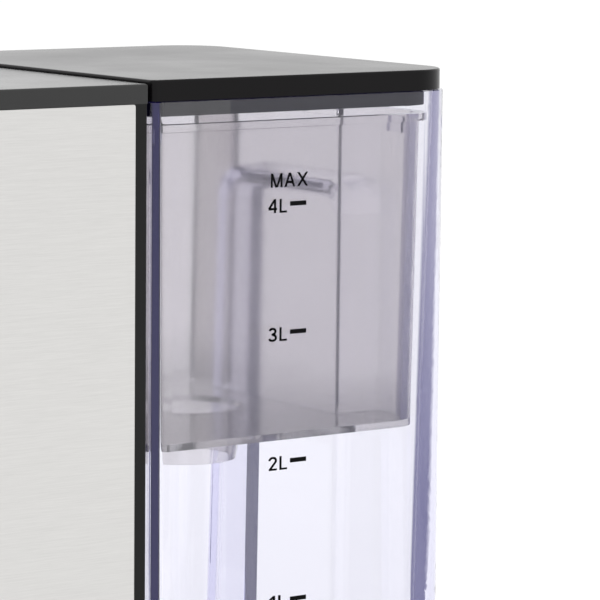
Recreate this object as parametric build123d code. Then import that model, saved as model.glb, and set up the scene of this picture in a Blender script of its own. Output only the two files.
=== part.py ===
from build123d import *
import math
import os

# Counter-top hot water dispenser with a lift-off water tank at the back.
# Millimetres, +Z up. The origin is the middle of the footprint, on the counter.
# The controls and the cup space face -Y, and the tank stands towards +Y.

# Overall size
WIDTH = 175.0
DEPTH = 330.0
HEIGHT = 290.0

# Body
CUP_REACH = 105.0           # front of the drip tray to the upright part of the body
COLUMN_DEPTH = 84.0         # upright part of the body, front to back
SEAM_GAP = 2.0              # between the body and the tank, which takes the rest of the depth
HEAD_HEIGHT = 92.0          # head over the cup space
BODY_WALL = 2.5
SIDE_WALL = 3.0
POST_WIDTH = 5.1            # black edge left around the steel panels
PANEL_SHEET = 0.8
PANEL_CORNER = 0.8
PANEL_FIT = 0.15
COVER_THICKNESS = 7.05
COVER_SKIN = 2.5
COVER_RIM = 4.6
COVER_LIP = 4.0
LID_PROUD = 1.2             # tank lid above the body's cover
EDGE_ROUND = 0.8
FRONT_CORNER = 3.0

# Base
FOOT_HEIGHT = 4.0
FOOT_RADIUS = 9.0
FOOT_INSET = 20.0
PLATE_THICKNESS = 3.0
PLATE_INSET = 1.0
PLATFORM_TOP = 38.0
PLATFORM_WALL = 3.0
ISLAND_HEIGHT = 3.0         # raised part of the platform that centres the tank
ISLAND_CLEARANCE = 1.0
ARM_TOP = 38.0              # walls beside the drip tray
PASSAGE_MARGIN = 12.5       # side wall to the opening between the column and the platform
PASSAGE_TOP = 33.0
PASSAGE_SILL = 3.0
VENT_LENGTH = 34.0
VENT_WIDTH = 3.0
VENT_PITCH = 8.0
VENT_COUNT = 7

# Fasteners
SCREW_RADIUS = 1.4
SCREW_HEAD_RADIUS = 3.2
SCREW_HEAD_HEIGHT = 1.4
SCREW_GRIP = 9.0
SCREW_CLEARANCE = 0.3
BOSS_RADIUS = 4.2
BOSS_HEIGHT = 12.0
BOSS_SET = 3.5              # boss axis from the side wall
BOSS_MARGIN = 12.0
PLATFORM_BOSS_SET = 34.0

# Tank
TANK_WALL = 4.0
TANK_FRONT_WALL = 5.0
TANK_FLOOR_THICKNESS = 3.5
TANK_FOOT = 4.7             # skirt below the tank floor
TANK_SEAT_GAP = 0.3
TANK_RIM_GAP = 0.4          # below the lid
REAR_RADIUS = 19.5          # lid and platform
TANK_REAR_RADIUS = 16.5
TANK_FRONT_RADIUS = 0.6
TANK_INNER_RADIUS = 12.0
TANK_INNER_RADIUS_LOW = 17.5
TANK_INNER_FRONT_RADIUS = 1.5
OUTER_DRAFT = 0.1
INNER_DRAFT = 0.8
GRIP_MOUTH = 84.2           # grip recess in the rear wall, at its foot
GRIP_SPLAY = 3.9            # each side leans in this much at its top
GRIP_TAPER = 0.3            # each side narrows this much from the mouth to the floor
GRIP_DEPTH = 19.0           # at its top
GRIP_DRAFT = 3.6            # deeper by this at its foot
GRIP_WALL = 4.2
GRIP_BELOW_LID = 48.2
GRIP_TOP_SLOPE = 1.0        # drop of the recess's top from its mouth to its floor
GRIP_ROUND = 12.0
GRIP_EDGE = 3.8
LEDGE_WIDTH = 11.0
LEDGE_HEIGHT = 6.0
LEDGE_FRONT_X = 45.0
LEDGE_REAR_X = 56.0
LEDGE_CLEARANCE = 0.4
RIM_SEAT_GAP = 0.2

# Lid
LID_THICKNESS = 7.7
LID_SKIN = 2.5
LID_RIM = 9.0
LID_FRONT_RADIUS = 2.0
SKIRT_INSET = 5.4
SKIRT_WALL = 2.0
SKIRT_DEPTH = 5.8
SKIRT_RADIUS = 16.0
SKIRT_RIB_FROM_END = 22.5
SKIRT_RIB_WIDTH = 3.0
SKIRT_RIB_PROUD = 0.9

# Filter basket
BASKET_RIM_BELOW_LID = 16.7
BASKET_RIM_INSET = 5.8
BASKET_RIM_THICKNESS = 2.8
BASKET_INSET = 8.0
BASKET_DEPTH = 119.1
BASKET_DRAFT = 1.5
BASKET_WALL = 1.8
BASKET_FLOOR = 2.4
BASKET_REAR_RADIUS = 13.0
BASKET_FRONT_RADIUS = 4.0
BASKET_NOTCH_CLEARANCE = 0.8
COLLAR_BEHIND_MIDDLE = 1.5
COLLAR_RADIUS = 22.8
COLLAR_TAPER = 3.2
COLLAR_LENGTH = 18.0
COLLAR_WALL = 1.6

# Tank valve and its coupling
VALVE_FROM_FRONT = 32.0
VALVE_RADIUS = 13.0
VALVE_FLANGE = 4.0
VALVE_FLANGE_HEIGHT = 2.0
VALVE_DROP = 4.5            # below the underside of the tank floor
VALVE_SEAT = 2.5
VALVE_SEAT_RADIUS = 5.5
VALVE_BORE = 9.0
VALVE_SEAL_HEIGHT = 1.2
VALVE_SEAL_RADIUS = 8.4
VALVE_TRAVEL = 3.0
PLUNGER_RADIUS = 7.8
PLUNGER_DISC = 1.8
PLUNGER_NOSE_RADIUS = 3.4
PLUNGER_NOSE = 4.8
STEM_RADIUS = 1.7
STEM_TOP_PROUD = 3.5
CAP_RADIUS = 15.0
CAP_HEIGHT = 11.5
CAP_WALL = 1.5
CAP_SLOTS = 8
CAP_SLOT_WIDTH = 3.0
SPRING_RADIUS = 4.5
SPRING_WIRE = 0.45
SPRING_TURNS = 4
SPRING_GAP = 0.2
SOCKET_WALL = 3.6
SOCKET_TOP_GAP = 0.6
SOCKET_FLOOR = 2.5
SOCKET_FLANGE = 4.0
SOCKET_FLANGE_HEIGHT = 3.0
SOCKET_LOW_RADIUS = 9.0
SOCKET_BORE = 5.0
SOCKET_BOTTOM = 14.0
PIN_RADIUS = 1.8
PIN_BAR = 2.4
SEAL_HEIGHT = 2.0
SEAL_WIDTH = 2.1
SEAL_BELOW_TOP = 1.0
FIT = 0.4                   # round sliding pieces, on the radius
CLOSE_FIT = 0.1             # pieces that stay put, on the radius
RUN_FIT = 0.08              # turning shafts, on the radius

# Water lines
TUBE_RADIUS = 4.0
TUBE_BORE = 2.6
BARB_RADIUS = 2.5
BARB_BORE = 1.6
BARB_LENGTH = 9.0
TUBE_END_GAP = 0.3
TUBE_BEND = 18.0
CLIP_WALL = 1.15
CLIP_WIDTH = 4.0

# Flow meter
METER_RADIUS = 14.0
METER_HEIGHT = 22.0
METER_WALL = 2.0
METER_CAP = 2.5
WHEEL_RADIUS = 11.0
WHEEL_HUB = 3.0
WHEEL_AXLE = 1.2
WHEEL_VANES = 6
WHEEL_VANE = 1.2
WHEEL_GAP = 0.6

# Pump
PUMP_HEIGHT = 24.0          # axis above the counter
PUMP_RADIUS = 15.0
PUMP_LENGTH = 16.0
PUMP_WALL = 2.5
PUMP_FROM_WALL = 14.0
MOTOR_RADIUS = 13.0
MOTOR_LENGTH = 32.0
MOTOR_FLANGE = 2.0
SHAFT_RADIUS = 1.5
SHAFT_ENGAGED = 10.0
IMPELLER_RADIUS = 11.5
IMPELLER_DISC = 1.5
IMPELLER_HUB = 4.0
IMPELLER_GAP = 0.8
BRACKET_HALF = 12.0
BRACKET_LENGTH = 18.0
BRACKET_BELOW_AXIS = 4.0

# Heater
HEATER_RADIUS = 18.0
HEATER_LIFT = 30.0          # above the pump
HEATER_BELOW_COVER = 92.75
HEATER_SIDE = 11.0          # from the body's side wall
CLAMP_HEIGHT = 10.0
CLAMP_WALL = 2.5
CLAMP_FROM_END = 18.0
CLAMP_FOOT = 10.0
THERMOSTAT_RADIUS = 6.0
THERMOSTAT_HEIGHT = 6.0
SENSOR_RADIUS = 3.0
SENSOR_HEIGHT = 10.0
SENSOR_OFFSET = 11.5

# Mains board
BOARD_THICKNESS = 1.6
BOARD_STANDOFF = 20.0
BOARD_MARGIN = 6.0
BOARD_BOTTOM = 62.0
BOARD_HEIGHT = 136.0
BOARD_POST_RADIUS = 3.5
BOARD_POST_INSET = 6.0
RELAY_SIZE = 18.0
RELAY_DEPTH = 15.0
COIL_SIZE = 26.0
COIL_DEPTH = 22.0
CAPACITOR_RADIUS = 6.0
CAPACITOR_HEIGHT = 20.0
PLUG_SIZE = 8.0             # small connectors for the leads
WIRE_RADIUS = 1.5
WIRE_BEND = 12.0
WIRE_GAP = 0.1

# Control head
TRAY_PROUD = 3.0            # drip tray in front of the control panel
PANEL_THICKNESS = 5.0
LENS_WIDTH = 64.0
LENS_HEIGHT = 26.0
LENS_THICKNESS = 2.0
LENS_FIT = 0.15
LENS_LEDGE = 3.0
LENS_FROM_TOP = 14.0
BUTTON_RADIUS = 8.0
BUTTON_FIT = 0.3
BUTTON_PROUD = 1.0
BUTTON_TRAVEL = 1.0
BUTTON_FLANGE = 1.6
BUTTON_FLANGE_HEIGHT = 1.2
BUTTON_STEM = 2.5
BUTTON_REST_GAP = 0.1
BUTTON_MARGIN = 21.5        # edge of the control board to the outer buttons
BUTTON_FROM_BOTTOM = 24.0
BUTTON_NAMES = ["button_power", "button_temperature", "button_volume", "button_start"]
CONTROL_GAP = 11.0          # from the panel to the control board
CONTROL_MARGIN = 12.0
CONTROL_POST_RADIUS = 3.5
CONTROL_POST_INSET = 6.0
SWITCH_SIZE = 6.0
SWITCH_HEIGHT = 3.5
SWITCH_KNOB_RADIUS = 1.75
SWITCH_KNOB = 1.5
SCREEN_DEPTH = 6.0

# Outlet
CHAMBER_HALF = 20.0
CHAMBER_HEIGHT = 34.0
CHAMBER_WALL = 2.0
CHAMBER_LID = 2.5
OUTLET_RADIUS = 7.0
OUTLET_BORE = 4.0
OUTLET_DROP = 6.0
NOZZLE_FLANGE_RADIUS = 13.0
NOZZLE_FLANGE = 3.0
NOZZLE_RADIUS = 10.0
NOZZLE_TIP_RADIUS = 6.5
NOZZLE_LENGTH = 24.0
SHROUD_HALF_X = 26.0
SHROUD_HALF_Y = 23.0
SHROUD_HEIGHT = 13.0
SHROUD_ROUND = 6.0
SPLASH_INSET = 5.0
SPLASH_SHEET = 0.8
SPLASH_GAP = 3.0

# Drip tray
TRAY_FRONT = 3.5
TRAY_CLEARANCE = 0.5
TRAY_LIFT = 0.3
TRAY_WALL = 2.0
TRAY_LEDGE = 2.5
TRAY_FLOOR = 2.5
TRAY_TOP = 36.0
TRAY_LIP = 1.0
GRID_SHEET = 1.5
GRID_CLEARANCE = 0.4
GRID_SLOT = 3.0
GRID_PITCH = 8.0
GRID_MARGIN = 10.0
GRID_BRIDGE = 8.0

# Mains inlet
GLAND_X = -45.0
GLAND_HEIGHT = 20.0
GLAND_RADIUS = 7.0
GLAND_BORE = 3.6
GLAND_FLANGE = 2.5
GLAND_FLANGE_HEIGHT = 2.0
GLAND_LENGTH = 10.0

# Places that follow from the sizes
HALF_WIDTH = WIDTH / 2
Y_FRONT = -DEPTH / 2
Y_BACK = DEPTH / 2
COLUMN_FRONT = Y_FRONT + CUP_REACH
BODY_BACK = COLUMN_FRONT + COLUMN_DEPTH
TANK_FRONT = BODY_BACK + SEAM_GAP
TANK_MIDDLE = (TANK_FRONT + Y_BACK) / 2
PANEL_FRONT = Y_FRONT + TRAY_PROUD
HEAD_FRONT = PANEL_FRONT + PANEL_THICKNESS
ARM_FRONT = Y_FRONT + TRAY_FRONT + TRAY_LIFT
COVER_TOP = HEIGHT - LID_PROUD
COVER_BOTTOM = COVER_TOP - COVER_THICKNESS
HEAD_BOTTOM = COVER_BOTTOM - HEAD_HEIGHT
HEAD_FLOOR = HEAD_BOTTOM + BODY_WALL
SHELL_BOTTOM = FOOT_HEIGHT + PLATE_THICKNESS
SIDE_INNER = HALF_WIDTH - SIDE_WALL
BACK_INNER = BODY_BACK - BODY_WALL
FRONT_INNER = COLUMN_FRONT + BODY_WALL
BOSS_X = SIDE_INNER - BOSS_SET
LID_BOTTOM = HEIGHT - LID_THICKNESS
TANK_TOP = LID_BOTTOM - TANK_RIM_GAP
TANK_BOTTOM = PLATFORM_TOP + TANK_SEAT_GAP
TANK_UNDERSIDE = TANK_BOTTOM + TANK_FOOT
TANK_FLOOR = TANK_UNDERSIDE + TANK_FLOOR_THICKNESS
GRIP_TOP = HEIGHT - GRIP_BELOW_LID
GRIP_DEEP = GRIP_DEPTH + GRIP_DRAFT
BASKET_RIM_TOP = HEIGHT - BASKET_RIM_BELOW_LID
BASKET_RIM_BOTTOM = BASKET_RIM_TOP - BASKET_RIM_THICKNESS
BASKET_BOTTOM = BASKET_RIM_TOP - BASKET_DEPTH
COLLAR_Y = TANK_MIDDLE + COLLAR_BEHIND_MIDDLE
VALVE_Y = TANK_FRONT + VALVE_FROM_FRONT
VALVE_BOTTOM = TANK_UNDERSIDE - VALVE_DROP
VALVE_SEAT_TOP = VALVE_BOTTOM + VALVE_SEAT
VALVE_TOP = TANK_FLOOR + VALVE_FLANGE_HEIGHT
PLUNGER_BOTTOM = VALVE_SEAT_TOP + VALVE_SEAL_HEIGHT + CLOSE_FIT + VALVE_TRAVEL
PLUNGER_TOP = PLUNGER_BOTTOM + PLUNGER_DISC
PLUNGER_TIP = PLUNGER_BOTTOM - PLUNGER_NOSE
CAP_TOP = VALVE_TOP + CAP_HEIGHT
PLATFORM_UNDERSIDE = PLATFORM_TOP - PLATFORM_WALL
SOCKET_TOP = TANK_UNDERSIDE - SOCKET_TOP_GAP
SOCKET_CUP_FLOOR = PLATFORM_UNDERSIDE - SOCKET_FLANGE_HEIGHT + SOCKET_FLOOR
SOCKET_CUP_RADIUS = VALVE_RADIUS + FIT
SOCKET_RADIUS = SOCKET_CUP_RADIUS + SOCKET_WALL
PUMP_X = -(SIDE_INNER - HEATER_SIDE - HEATER_RADIUS)
PUMP_FRONT = BACK_INNER - PUMP_FROM_WALL
PUMP_BACK = PUMP_FRONT - PUMP_LENGTH
PUMP_MIDDLE = (PUMP_FRONT + PUMP_BACK) / 2
MOTOR_BACK = PUMP_BACK - MOTOR_LENGTH
METER_Y = VALVE_Y
METER_TOP = SHELL_BOTTOM + METER_HEIGHT
HEATER_BOTTOM = PUMP_HEIGHT + PUMP_RADIUS + HEATER_LIFT
HEATER_TOP = COVER_BOTTOM - HEATER_BELOW_COVER
BOARD_X = SIDE_INNER - BOARD_STANDOFF - BOARD_THICKNESS
BOARD_TOP = BOARD_BOTTOM + BOARD_HEIGHT
BOARD_FRONT = FRONT_INNER + BOARD_MARGIN
BOARD_BACK = BACK_INNER - BOARD_MARGIN
WIRE_Y = (MOTOR_BACK + PUMP_BACK) / 2
WIRE_X = BOARD_X - PLUG_SIZE / 2
CONTROL_FRONT = HEAD_FRONT + CONTROL_GAP
CONTROL_BACK = CONTROL_FRONT + BOARD_THICKNESS
CONTROL_BOTTOM = HEAD_FLOOR + CONTROL_MARGIN / 2
CONTROL_TOP = COVER_BOTTOM - CONTROL_MARGIN
CONTROL_HALF = SIDE_INNER - CONTROL_MARGIN
BUTTON_Z = HEAD_BOTTOM + BUTTON_FROM_BOTTOM
LENS_TOP = COVER_BOTTOM - LENS_FROM_TOP
LENS_BOTTOM = LENS_TOP - LENS_HEIGHT
SPOUT_Y = (HEAD_FRONT + COLUMN_FRONT) / 2
CHAMBER_TOP = HEAD_FLOOR + CHAMBER_HEIGHT
TUBE_TOP = (CHAMBER_TOP + COVER_BOTTOM) / 2
TRAY_HALF = SIDE_INNER - TRAY_CLEARANCE
TRAY_BACK = COLUMN_FRONT - SPLASH_SHEET - TRAY_CLEARANCE
GRID_BOTTOM = TRAY_TOP - GRID_SHEET
BUTTON_ROW = 2 * (CONTROL_HALF - BUTTON_MARGIN)
BUTTON_XS = [BUTTON_ROW * (i / (len(BUTTON_NAMES) - 1) - 1 / 2) for i in range(len(BUTTON_NAMES))]
PASSAGE_HALF = SIDE_INNER - PASSAGE_MARGIN
BODY_BOSSES = [
    (side * BOSS_X, y)
    for side in (-1, 1)
    for y in (COLUMN_FRONT + BOSS_MARGIN, BODY_BACK - BOSS_MARGIN)
]
PLATFORM_BOSSES = [(side * BOSS_X, Y_BACK - PLATFORM_BOSS_SET) for side in (-1, 1)]


def block(x0, x1, y0, y1, z0, z1):
    """Box between two corners."""
    return Pos((x0 + x1) / 2, (y0 + y1) / 2, (z0 + z1) / 2) * Box(x1 - x0, y1 - y0, z1 - z0)


def post(x, y, z0, z1, radius):
    """Upright cylinder."""
    return Pos(x, y, (z0 + z1) / 2) * Cylinder(radius, z1 - z0)


def rod_x(x0, x1, y, z, radius):
    """Cylinder along X."""
    return Pos((x0 + x1) / 2, y, z) * Rot(0, 90, 0) * Cylinder(radius, x1 - x0)


def rod_y(y0, y1, x, z, radius):
    """Cylinder along Y."""
    return Pos(x, (y0 + y1) / 2, z) * Rot(90, 0, 0) * Cylinder(radius, y1 - y0)


def slab(outline, z0, z1):
    """Flat outline made solid between two heights."""
    return extrude(Pos(0, 0, z0) * outline, amount=z1 - z0)


def drafted(low, z0, high, z1):
    """Solid between two outlines at two heights."""
    return loft([Pos(0, 0, z0) * low, Pos(0, 0, z1) * high], ruled=True)


def prism_x(points, x0, x1, corner=0.0):
    """Side-view polygon of (Y, Z) points made solid between two X planes."""
    face = make_face(Polyline(*points, close=True))
    if corner:
        face = fillet(face.vertices(), corner)
    return extrude(Plane.YZ.offset(x0) * face, amount=x1 - x0)


def rear_outline(half, y0, y1, front_radius, rear_radius):
    """Plan with small front corners and large rear corners."""
    plan = Pos(0, (y0 + y1) / 2) * Rectangle(2 * half, y1 - y0)
    plan = fillet(plan.vertices().group_by(Axis.Y)[-1], rear_radius)
    return fillet(plan.vertices().group_by(Axis.Y)[0], front_radius)


def tank_outline(inset, front_radius, rear_radius):
    """Plan of the tank, drawn in by an inset."""
    return rear_outline(
        HALF_WIDTH - inset, TANK_FRONT + inset, Y_BACK - inset, front_radius, rear_radius
    )


def group(pieces):
    """Separate solids that share one node."""
    return Compound(children=[Part(piece.wrapped) for piece in pieces])


# Base and body

def base_plate():
    plan = rear_outline(
        HALF_WIDTH - PLATE_INSET, ARM_FRONT, Y_BACK - PLATE_INSET, FRONT_CORNER, REAR_RADIUS - PLATE_INSET
    )
    plate = slab(plan, FOOT_HEIGHT, SHELL_BOTTOM)
    head_depth = SCREW_HEAD_HEIGHT + SCREW_CLEARANCE
    for x, y in BODY_BOSSES + PLATFORM_BOSSES:
        plate -= post(x, y, FOOT_HEIGHT, SHELL_BOTTOM, SCREW_RADIUS + SCREW_CLEARANCE)
        plate -= post(x, y, FOOT_HEIGHT, FOOT_HEIGHT + head_depth, SCREW_HEAD_RADIUS + SCREW_CLEARANCE)
    for i in range(VENT_COUNT):
        x = VENT_PITCH * (i - (VENT_COUNT - 1) / 2)
        y = (FRONT_INNER + BACK_INNER) / 2
        slot = Pos(x, y) * Rot(0, 0, 90) * SlotOverall(VENT_LENGTH, VENT_WIDTH)
        plate -= slab(slot, FOOT_HEIGHT, SHELL_BOTTOM)
    return plate


def feet():
    pads = []
    for x in (-(HALF_WIDTH - FOOT_INSET), HALF_WIDTH - FOOT_INSET):
        for y in (Y_FRONT + FOOT_INSET, Y_BACK - FOOT_INSET - PLATE_INSET):
            pad = post(x, y, 0, FOOT_HEIGHT, FOOT_RADIUS)
            pads.append(chamfer(pad.edges().group_by(Axis.Z)[0], EDGE_ROUND))
    return group(pads)


def base_screws():
    screws = []
    seat = FOOT_HEIGHT + SCREW_CLEARANCE
    for x, y in BODY_BOSSES + PLATFORM_BOSSES:
        head = post(x, y, seat, seat + SCREW_HEAD_HEIGHT, SCREW_HEAD_RADIUS)
        shank = post(x, y, seat, SHELL_BOTTOM + SCREW_GRIP, SCREW_RADIUS)
        screws.append(head + shank)
    return group(screws)


def boss(x, y):
    """Screw boss that grows out of the side wall."""
    x0, x1 = sorted((x, math.copysign(HALF_WIDTH - SIDE_WALL / 2, x)))
    half = SIDE_WALL / 2
    top = SHELL_BOTTOM + BOSS_HEIGHT
    web = block(x0, x1, y - half, y + half, SHELL_BOTTOM, top)
    return post(x, y, SHELL_BOTTOM, top, BOSS_RADIUS) + web


def boss_hole(x, y):
    top = SHELL_BOTTOM + SCREW_GRIP + SCREW_CLEARANCE
    return post(x, y, SHELL_BOTTOM, top, SCREW_RADIUS + CLOSE_FIT / 2)


def panel_points(grow):
    """Side-view outline of a steel side panel: head, column and base arm."""
    edge = POST_WIDTH - grow
    back = BODY_BACK - edge
    top = COVER_BOTTOM - PANEL_FIT + grow
    low = SHELL_BOTTOM + edge
    return [
        (back, top),
        (HEAD_FRONT + edge, top),
        (HEAD_FRONT + edge, HEAD_BOTTOM + edge),
        (COLUMN_FRONT + edge, HEAD_BOTTOM + edge),
        (COLUMN_FRONT + edge, ARM_TOP - edge),
        (ARM_FRONT + edge, ARM_TOP - edge),
        (ARM_FRONT + edge, low),
        (back, low),
    ]


def side_panel(side):
    outer = side * HALF_WIDTH
    inner = side * (HALF_WIDTH - PANEL_SHEET)
    return prism_x(panel_points(0), min(outer, inner), max(outer, inner), PANEL_CORNER)


def power_board_posts():
    """Corner posts of the mains board, from the right side wall."""
    ys = (BOARD_FRONT + BOARD_POST_INSET, BOARD_BACK - BOARD_POST_INSET)
    zs = (BOARD_BOTTOM + BOARD_POST_INSET, BOARD_TOP - BOARD_POST_INSET)
    x0 = BOARD_X + BOARD_THICKNESS
    return [rod_x(x0, HALF_WIDTH - SIDE_WALL / 2, y, z, BOARD_POST_RADIUS) for y in ys for z in zs]


def passage(y0, y1):
    """Opening for the water line between the column and the platform."""
    return block(-PASSAGE_HALF, PASSAGE_HALF, y0, y1, SHELL_BOTTOM + PASSAGE_SILL, PASSAGE_TOP)


def body_shell():
    outer = [
        (BODY_BACK, SHELL_BOTTOM),
        (BODY_BACK, COVER_BOTTOM),
        (HEAD_FRONT, COVER_BOTTOM),
        (HEAD_FRONT, HEAD_BOTTOM),
        (COLUMN_FRONT, HEAD_BOTTOM),
        (COLUMN_FRONT, SHELL_BOTTOM),
    ]
    beyond = BODY_WALL
    inner = [
        (BACK_INNER, SHELL_BOTTOM - beyond),
        (BACK_INNER, COVER_BOTTOM + beyond),
        (HEAD_FRONT - beyond, COVER_BOTTOM + beyond),
        (HEAD_FRONT - beyond, HEAD_FLOOR),
        (FRONT_INNER, HEAD_FLOOR),
        (FRONT_INNER, SHELL_BOTTOM - beyond),
    ]
    shell = prism_x(outer, -HALF_WIDTH, HALF_WIDTH) - prism_x(inner, -SIDE_INNER, SIDE_INNER)
    overlap = SIDE_WALL
    for side in (-1, 1):
        x0, x1 = sorted((side * SIDE_INNER, side * HALF_WIDTH))
        shell += block(x0, x1, ARM_FRONT, COLUMN_FRONT + overlap, SHELL_BOTTOM, ARM_TOP)
    corners = [edge for edge in shell.edges().filter_by(Axis.Z) if edge.center().Y > BODY_BACK - PANEL_FIT]
    shell = fillet([edge for edge in corners if abs(edge.center().X) > SIDE_INNER], EDGE_ROUND)
    for x, y in BODY_BOSSES:
        shell += boss(x, y)
    for stud in power_board_posts():
        shell += stud
    for x, y in BODY_BOSSES:
        shell -= boss_hole(x, y)
    for side in (-1, 1):
        x0, x1 = sorted((side * (HALF_WIDTH - PANEL_SHEET), side * (HALF_WIDTH + PANEL_SHEET)))
        shell -= prism_x(panel_points(PANEL_FIT), x0, x1, PANEL_CORNER + PANEL_FIT)
    shell -= passage(BACK_INNER, BODY_BACK)
    shell -= post(0, SPOUT_Y, HEAD_BOTTOM, HEAD_FLOOR, OUTLET_RADIUS + CLOSE_FIT)
    return shell


def top_cover():
    cover = block(-HALF_WIDTH, HALF_WIDTH, PANEL_FRONT, BODY_BACK, COVER_BOTTOM, COVER_TOP)
    uprights = cover.edges().filter_by(Axis.Z).group_by(Axis.Y)
    cover = fillet(uprights[0], FRONT_CORNER)
    cover = fillet(cover.faces().sort_by(Axis.Z)[-1].edges(), EDGE_ROUND)
    half = HALF_WIDTH - COVER_RIM
    front = HEAD_FRONT + COVER_RIM
    back = BODY_BACK - COVER_RIM
    cover -= block(-half, half, front, back, COVER_BOTTOM, COVER_TOP - COVER_SKIN)
    lip_half = SIDE_INNER - PANEL_FIT
    lip_front = front - SIDE_WALL
    lip_back = BACK_INNER - PANEL_FIT
    lip_bottom = COVER_BOTTOM - COVER_LIP
    root = COVER_BOTTOM + COVER_SKIN
    lip = block(-lip_half, lip_half, lip_front, lip_back, lip_bottom, root)
    lip -= block(-half, half, front, back, lip_bottom, root)
    return cover + lip


def splash_plate():
    half = SIDE_INNER - SPLASH_INSET
    plate = block(
        -half, half, COLUMN_FRONT - SPLASH_SHEET, COLUMN_FRONT, ARM_TOP + SPLASH_GAP, HEAD_BOTTOM - SPLASH_GAP
    )
    return fillet(plate.edges().filter_by(Axis.Y), PANEL_CORNER)


# Control head

def control_corners():
    """Places of the control board's posts, as (X, Z)."""
    half = CONTROL_HALF - CONTROL_POST_INSET
    zs = (CONTROL_BOTTOM + CONTROL_POST_INSET, CONTROL_TOP - CONTROL_POST_INSET)
    return [(x, z) for x in (-half, half) for z in zs]


def front_panel():
    panel = block(-HALF_WIDTH, HALF_WIDTH, PANEL_FRONT, HEAD_FRONT, HEAD_BOTTOM, COVER_BOTTOM)
    panel = fillet(panel.faces().sort_by(Axis.Y)[0].edges().filter_by(Axis.Z), FRONT_CORNER)
    half = LENS_WIDTH / 2
    panel -= block(
        -half - LENS_FIT, half + LENS_FIT, PANEL_FRONT, PANEL_FRONT + LENS_THICKNESS,
        LENS_BOTTOM - LENS_FIT, LENS_TOP + LENS_FIT,
    )
    panel -= block(
        -half + LENS_LEDGE, half - LENS_LEDGE, PANEL_FRONT, HEAD_FRONT,
        LENS_BOTTOM + LENS_LEDGE, LENS_TOP - LENS_LEDGE,
    )
    for x in BUTTON_XS:
        panel -= rod_y(PANEL_FRONT, HEAD_FRONT, x, BUTTON_Z, BUTTON_RADIUS + BUTTON_FIT)
    for x, z in control_corners():
        panel += rod_y(HEAD_FRONT - PANEL_THICKNESS / 2, CONTROL_FRONT, x, z, CONTROL_POST_RADIUS)
    return panel


def display_lens():
    half = LENS_WIDTH / 2
    lens = block(-half, half, PANEL_FRONT, PANEL_FRONT + LENS_THICKNESS, LENS_BOTTOM, LENS_TOP)
    return fillet(lens.edges().filter_by(Axis.Y), LENS_FIT)


def display_module():
    half = LENS_WIDTH / 2 - LENS_LEDGE
    low, high = LENS_BOTTOM + LENS_LEDGE, LENS_TOP - LENS_LEDGE
    return block(-half, half, CONTROL_FRONT - SCREEN_DEPTH, CONTROL_FRONT, low, high)


def button(x):
    back = HEAD_FRONT + BUTTON_REST_GAP
    cap = rod_y(PANEL_FRONT - BUTTON_PROUD, back + BUTTON_FLANGE_HEIGHT, x, BUTTON_Z, BUTTON_RADIUS)
    cap = fillet(cap.edges().group_by(Axis.Y)[0], EDGE_ROUND)
    flange = rod_y(back, back + BUTTON_FLANGE_HEIGHT, x, BUTTON_Z, BUTTON_RADIUS + BUTTON_FLANGE)
    end = CONTROL_FRONT - SWITCH_HEIGHT - SWITCH_KNOB - BUTTON_TRAVEL - BUTTON_REST_GAP
    return cap + flange + rod_y(back, end, x, BUTTON_Z, BUTTON_STEM)


def tact_switches():
    switches = []
    half = SWITCH_SIZE / 2
    for x in BUTTON_XS:
        face = CONTROL_FRONT - SWITCH_HEIGHT
        body = block(x - half, x + half, face, CONTROL_FRONT, BUTTON_Z - half, BUTTON_Z + half)
        switches.append(body + rod_y(face - SWITCH_KNOB, CONTROL_FRONT, x, BUTTON_Z, SWITCH_KNOB_RADIUS))
    return group(switches)


def control_board():
    return block(-CONTROL_HALF, CONTROL_HALF, CONTROL_FRONT, CONTROL_BACK, CONTROL_BOTTOM, CONTROL_TOP)


# Outlet over the cup space

def outlet_chamber():
    x0, x1 = -CHAMBER_HALF, CHAMBER_HALF
    y0, y1 = SPOUT_Y - CHAMBER_HALF, SPOUT_Y + CHAMBER_HALF
    wall = CHAMBER_WALL
    chamber = block(x0, x1, y0, y1, HEAD_FLOOR, CHAMBER_TOP)
    chamber -= block(x0 + wall, x1 - wall, y0 + wall, y1 - wall, HEAD_FLOOR + wall, CHAMBER_TOP)
    chamber += post(0, SPOUT_Y, HEAD_BOTTOM - OUTLET_DROP, HEAD_FLOOR + wall, OUTLET_RADIUS)
    return chamber - post(0, SPOUT_Y, HEAD_BOTTOM - OUTLET_DROP, HEAD_FLOOR + wall, OUTLET_BORE)


def chamber_lid():
    lid = block(
        -CHAMBER_HALF, CHAMBER_HALF, SPOUT_Y - CHAMBER_HALF, SPOUT_Y + CHAMBER_HALF,
        CHAMBER_TOP, CHAMBER_TOP + CHAMBER_LID,
    )
    top = CHAMBER_TOP + CHAMBER_LID + BARB_LENGTH
    lid += post(0, SPOUT_Y, CHAMBER_TOP, top, BARB_RADIUS)
    return lid - post(0, SPOUT_Y, CHAMBER_TOP, top, BARB_BORE)


def spout_nozzle():
    top = HEAD_BOTTOM
    tip = HEAD_BOTTOM - NOZZLE_LENGTH
    neck = HEAD_BOTTOM - NOZZLE_FLANGE
    step = HEAD_BOTTOM - OUTLET_DROP - CLOSE_FIT
    profile = make_face(
        Polyline(
            (OUTLET_RADIUS + CLOSE_FIT, top),
            (NOZZLE_FLANGE_RADIUS, top),
            (NOZZLE_FLANGE_RADIUS, neck),
            (NOZZLE_RADIUS, neck),
            (NOZZLE_TIP_RADIUS, tip),
            (OUTLET_BORE, tip),
            (OUTLET_BORE, step),
            (OUTLET_RADIUS + CLOSE_FIT, step),
            close=True,
        )
    )
    return Pos(0, SPOUT_Y, 0) * revolve(Plane.XZ * profile, Axis.Z)


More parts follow.
